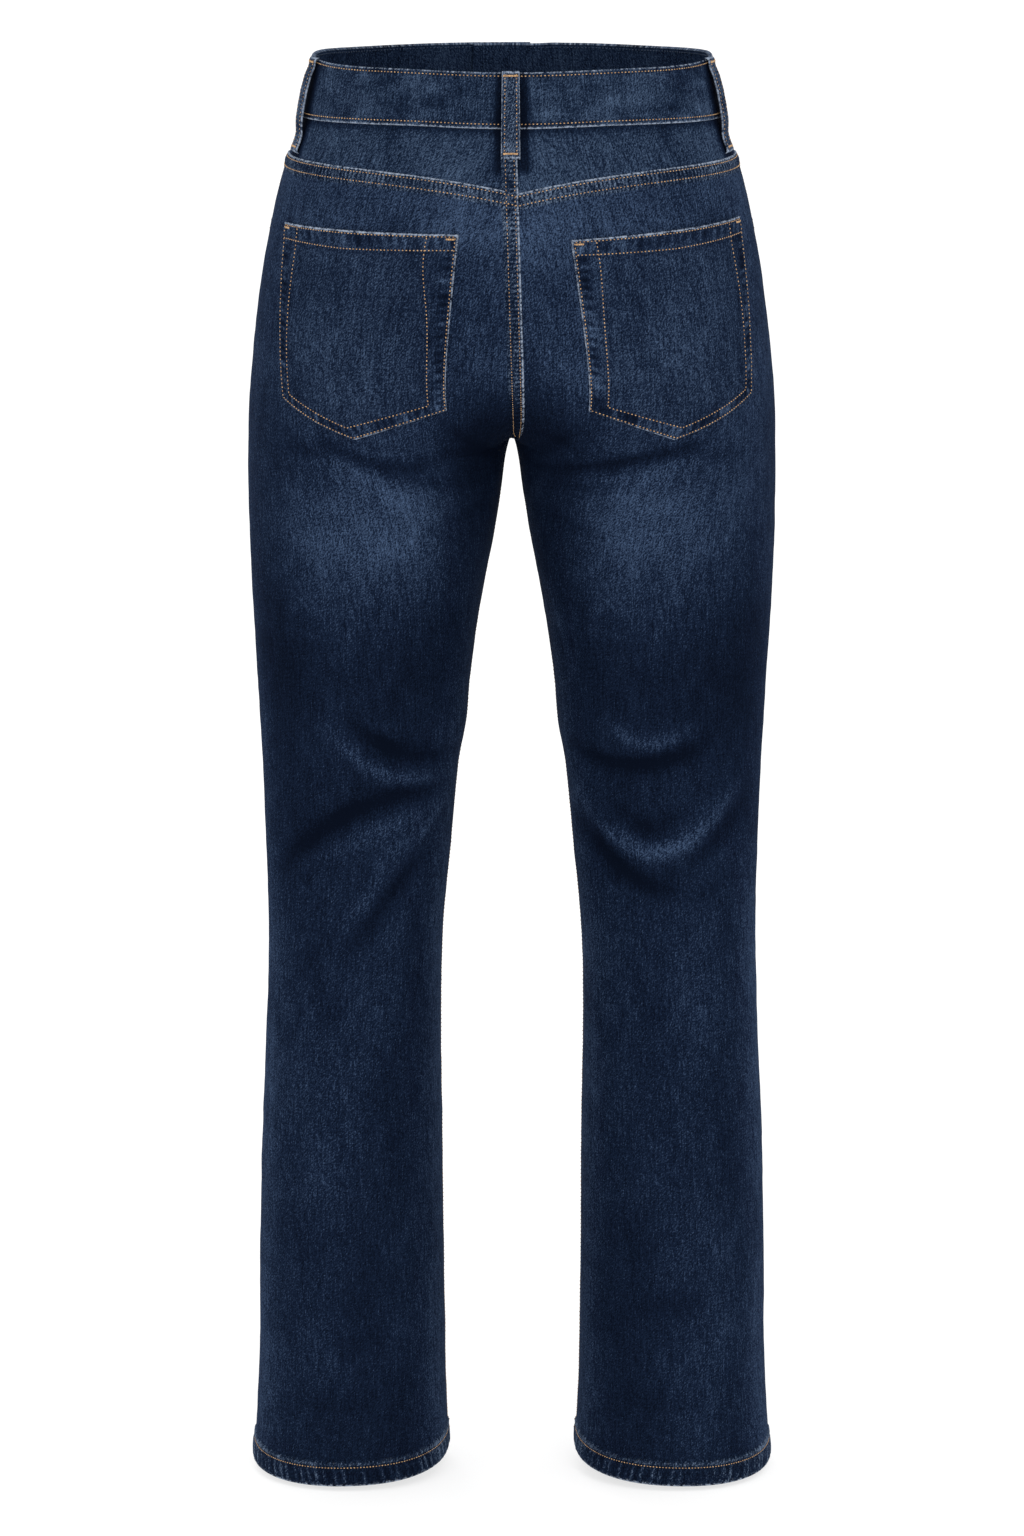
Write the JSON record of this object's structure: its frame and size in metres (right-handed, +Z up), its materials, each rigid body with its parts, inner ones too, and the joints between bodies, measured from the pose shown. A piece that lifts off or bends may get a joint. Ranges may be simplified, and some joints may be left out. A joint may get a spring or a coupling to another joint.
{
  "type": "bootcut jeans",
  "caption": "Hollow, filled-out pair of high-rise jeans with a yoke, patch back pockets, belt loops, fly and open straight legs.",
  "frame": {"origin": "middle of the waist, halfway up the waistband at the sides", "axes": "+Z up the body; the wearer faces -Y, so the wearer's left is +X and the seat faces +Y"},
  "size_m": [0.3932, 0.2569, 1.0725],
  "materials": {
    "denim_dark": "dark indigo twill, faded at the thighs and knees",
    "denim_worn": "dark indigo twill, a little paler, with worn edges",
    "zip_cotton": "woven cotton tape",
    "zip_brass": "satin",
    "button_brass": "antique satin"
  },
  "bodies": {
    "root": {"back_left": "denim_dark", "back_right": "denim_dark", "front_left": "denim_dark", "front_right": "denim_dark", "belt_loop_back": "denim_dark", "belt_loop_side_left": "denim_dark", "belt_loop_side_right": "denim_dark", "belt_loop_front_left": "denim_dark", "belt_loop_front_right": "denim_dark", "pocket_facing_left": "denim_dark", "pocket_facing_right": "denim_dark", "waistband": "denim_worn", "yoke_left": "denim_worn", "yoke_right": "denim_worn", "pocket_back_left": "denim_worn", "pocket_back_right": "denim_worn", "zip_tape": "zip_cotton", "zip_slider": "zip_brass", "button": "button_brass"}
  },
  "joints": []
}
